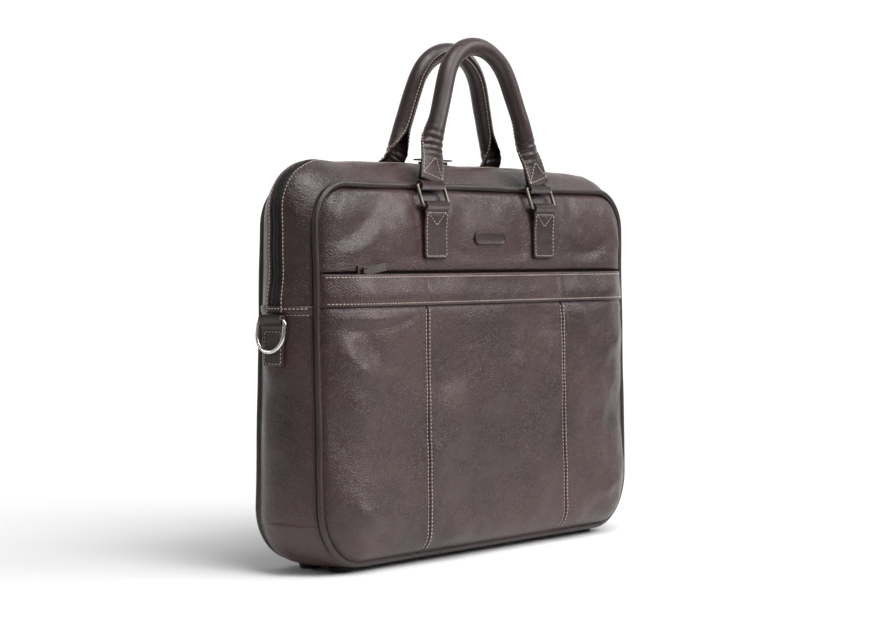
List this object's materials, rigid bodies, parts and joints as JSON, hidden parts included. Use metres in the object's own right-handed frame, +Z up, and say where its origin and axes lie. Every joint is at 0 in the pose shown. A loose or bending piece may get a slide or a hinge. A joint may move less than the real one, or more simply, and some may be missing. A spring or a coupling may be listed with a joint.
{
  "type": "briefcase",
  "caption": "Slim soft leather laptop briefcase with a zipped top, a zipped front pocket, rolled handles on metal rings and side rings for a strap.",
  "frame": {"origin": "on the floor under the middle of the bag, in the plane of the main zip", "axes": "+Z up; +X along the bag's width, to the right seen from the front; -Y out of the front, where the pocket is"},
  "size_m": [0.4438, 0.0933, 0.4268],
  "materials": {
    "leather": "dark brown pebbled grain, semi-gloss",
    "handle_leather": "dark brown, smoother, semi-gloss",
    "piping": "dark brown, smooth",
    "badge_leather": "embossed, plain",
    "handle_core": "matt",
    "lining_fabric": "woven, matt",
    "foam": "matt foam",
    "base_board": "matt",
    "zip_tape": "woven tape",
    "zip_coil": "satin",
    "nickel": "polished nickel",
    "feet": "satin"
  },
  "bodies": {
    "case": {"back_panel": "leather", "pocket_panel_left": "leather", "pocket_panel_centre": "leather", "pocket_panel_right": "leather", "pocket_back_wall": "lining_fabric", "lower_gusset": "leather", "upper_gusset_back": "leather", "gusset_lining": "lining_fabric", "zip_tape_back": "zip_tape", "zip_teeth_back": "zip_coil", "front_piping": "piping", "back_piping": "piping", "base_board": "base_board", "front_foam": "foam", "back_foam": "foam", "front_lining": "lining_fabric", "back_lining": "lining_fabric", "foot_front_left": "feet", "foot_front_right": "feet", "foot_back_left": "feet", "foot_back_right": "feet", "d_tab_left": "leather", "d_tab_right": "leather", "back_tab_left": "leather", "back_tab_right": "leather"},
    "front_wall": {"front_panel_upper": "leather", "pocket_band": "leather", "badge": "badge_leather", "upper_gusset_front": "leather", "zip_tape_front": "zip_tape", "zip_teeth_front": "zip_coil", "front_tab_left": "leather", "front_tab_right": "leather", "pocket_zip_tape": "zip_tape", "pocket_zip_teeth": "zip_coil"},
    "main_slider_left": {"main_slider_left": "nickel"},
    "main_slider_right": {"main_slider_right": "nickel"},
    "main_pull_left": {"main_pull_left": "nickel"},
    "main_pull_right": {"main_pull_right": "nickel"},
    "pocket_slider": {"pocket_zip_slider": "nickel"},
    "pocket_pull": {"pocket_zip_pull": "nickel"},
    "front_ring_left": {"front_ring_left": "nickel"},
    "front_ring_right": {"front_ring_right": "nickel"},
    "front_handle": {"front_handle_sleeve": "handle_leather", "front_handle_core": "handle_core"},
    "back_ring_left": {"back_ring_left": "nickel"},
    "back_ring_right": {"back_ring_right": "nickel"},
    "back_handle": {"back_handle_sleeve": "handle_leather", "back_handle_core": "handle_core"},
    "d_ring_left": {"d_ring_left": "nickel"},
    "d_ring_right": {"d_ring_right": "nickel"}
  },
  "joints": [
    {"name": "mouth_open", "type": "hinge", "parent": "case", "child": "front_wall", "pos_m": [0, -0.052, 0.2062], "axis": [1, 0, 0], "range_deg": [0, 24], "deforming": ["front_piping", "front_foam", "front_lining", "zip_tape_front", "zip_teeth_front"]},
    {"name": "main_slider_left_slide", "type": "slide", "parent": "case", "child": "main_slider_left", "axis": [1, 0, 0], "range_m": [-0.118, 0]},
    {"name": "main_slider_right_slide", "type": "slide", "parent": "case", "child": "main_slider_right", "axis": [1, 0, 0], "range_m": [0, 0.172]},
    {"name": "main_pull_left_turn", "type": "hinge", "parent": "main_slider_left", "child": "main_pull_left", "pos_m": [-0.035, 0, 0.3249], "axis": [0, 1, 0], "range_deg": [0, 100]},
    {"name": "main_pull_right_turn", "type": "hinge", "parent": "main_slider_right", "child": "main_pull_right", "pos_m": [-0.019, 0, 0.3249], "axis": [0, -1, 0], "range_deg": [0, 100]},
    {"name": "pocket_slider_slide", "type": "slide", "parent": "front_wall", "child": "pocket_slider", "axis": [1, 0, 0], "range_m": [0, 0.316]},
    {"name": "pocket_pull_turn", "type": "hinge", "parent": "pocket_slider", "child": "pocket_pull", "pos_m": [-0.158, -0.04165, 0.2342], "axis": [0.1392, 0, -0.9903], "range_deg": [0, 90]},
    {"name": "front_ring_left_turn", "type": "hinge", "parent": "front_wall", "child": "front_ring_left", "pos_m": [-0.071, -0.04049, 0.2862], "axis": [1, 0, 0], "range_deg": [0, 100]},
    {"name": "front_ring_right_turn", "type": "hinge", "parent": "front_wall", "child": "front_ring_right", "pos_m": [0.071, -0.04049, 0.2862], "axis": [1, 0, 0], "range_deg": [0, 100]},
    {"name": "front_handle_turn", "type": "hinge", "parent": "front_ring_left", "child": "front_handle", "pos_m": [-0.071, -0.03449, 0.3027], "axis": [1, 0, 0], "range_deg": [0, 70]},
    {"name": "back_ring_left_turn", "type": "hinge", "parent": "case", "child": "back_ring_left", "pos_m": [-0.071, 0.04049, 0.2862], "axis": [-1, 0, 0], "range_deg": [0, 100]},
    {"name": "back_ring_right_turn", "type": "hinge", "parent": "case", "child": "back_ring_right", "pos_m": [0.071, 0.04049, 0.2862], "axis": [-1, 0, 0], "range_deg": [0, 100]},
    {"name": "back_handle_turn", "type": "hinge", "parent": "back_ring_left", "child": "back_handle", "pos_m": [-0.071, 0.03449, 0.3027], "axis": [-1, 0, 0], "range_deg": [0, 70]},
    {"name": "d_ring_left_swing", "type": "hinge", "parent": "case", "child": "d_ring_left", "pos_m": [-0.217, 0, 0.1972], "axis": [0, 1, 0], "range_deg": [-4, 90]},
    {"name": "d_ring_right_swing", "type": "hinge", "parent": "case", "child": "d_ring_right", "pos_m": [0.217, 0, 0.1972], "axis": [0, -1, 0], "range_deg": [-4, 90]}
  ],
  "couplings": [
    {"joint": "main_slider_left_slide", "follows": "mouth_open", "m_per_rad": -0.2817},
    {"joint": "main_slider_right_slide", "follows": "mouth_open", "m_per_rad": 0.4106},
    {"joint": "front_ring_right_turn", "follows": "front_ring_left_turn", "ratio": 1},
    {"joint": "back_ring_right_turn", "follows": "back_ring_left_turn", "ratio": 1}
  ]
}
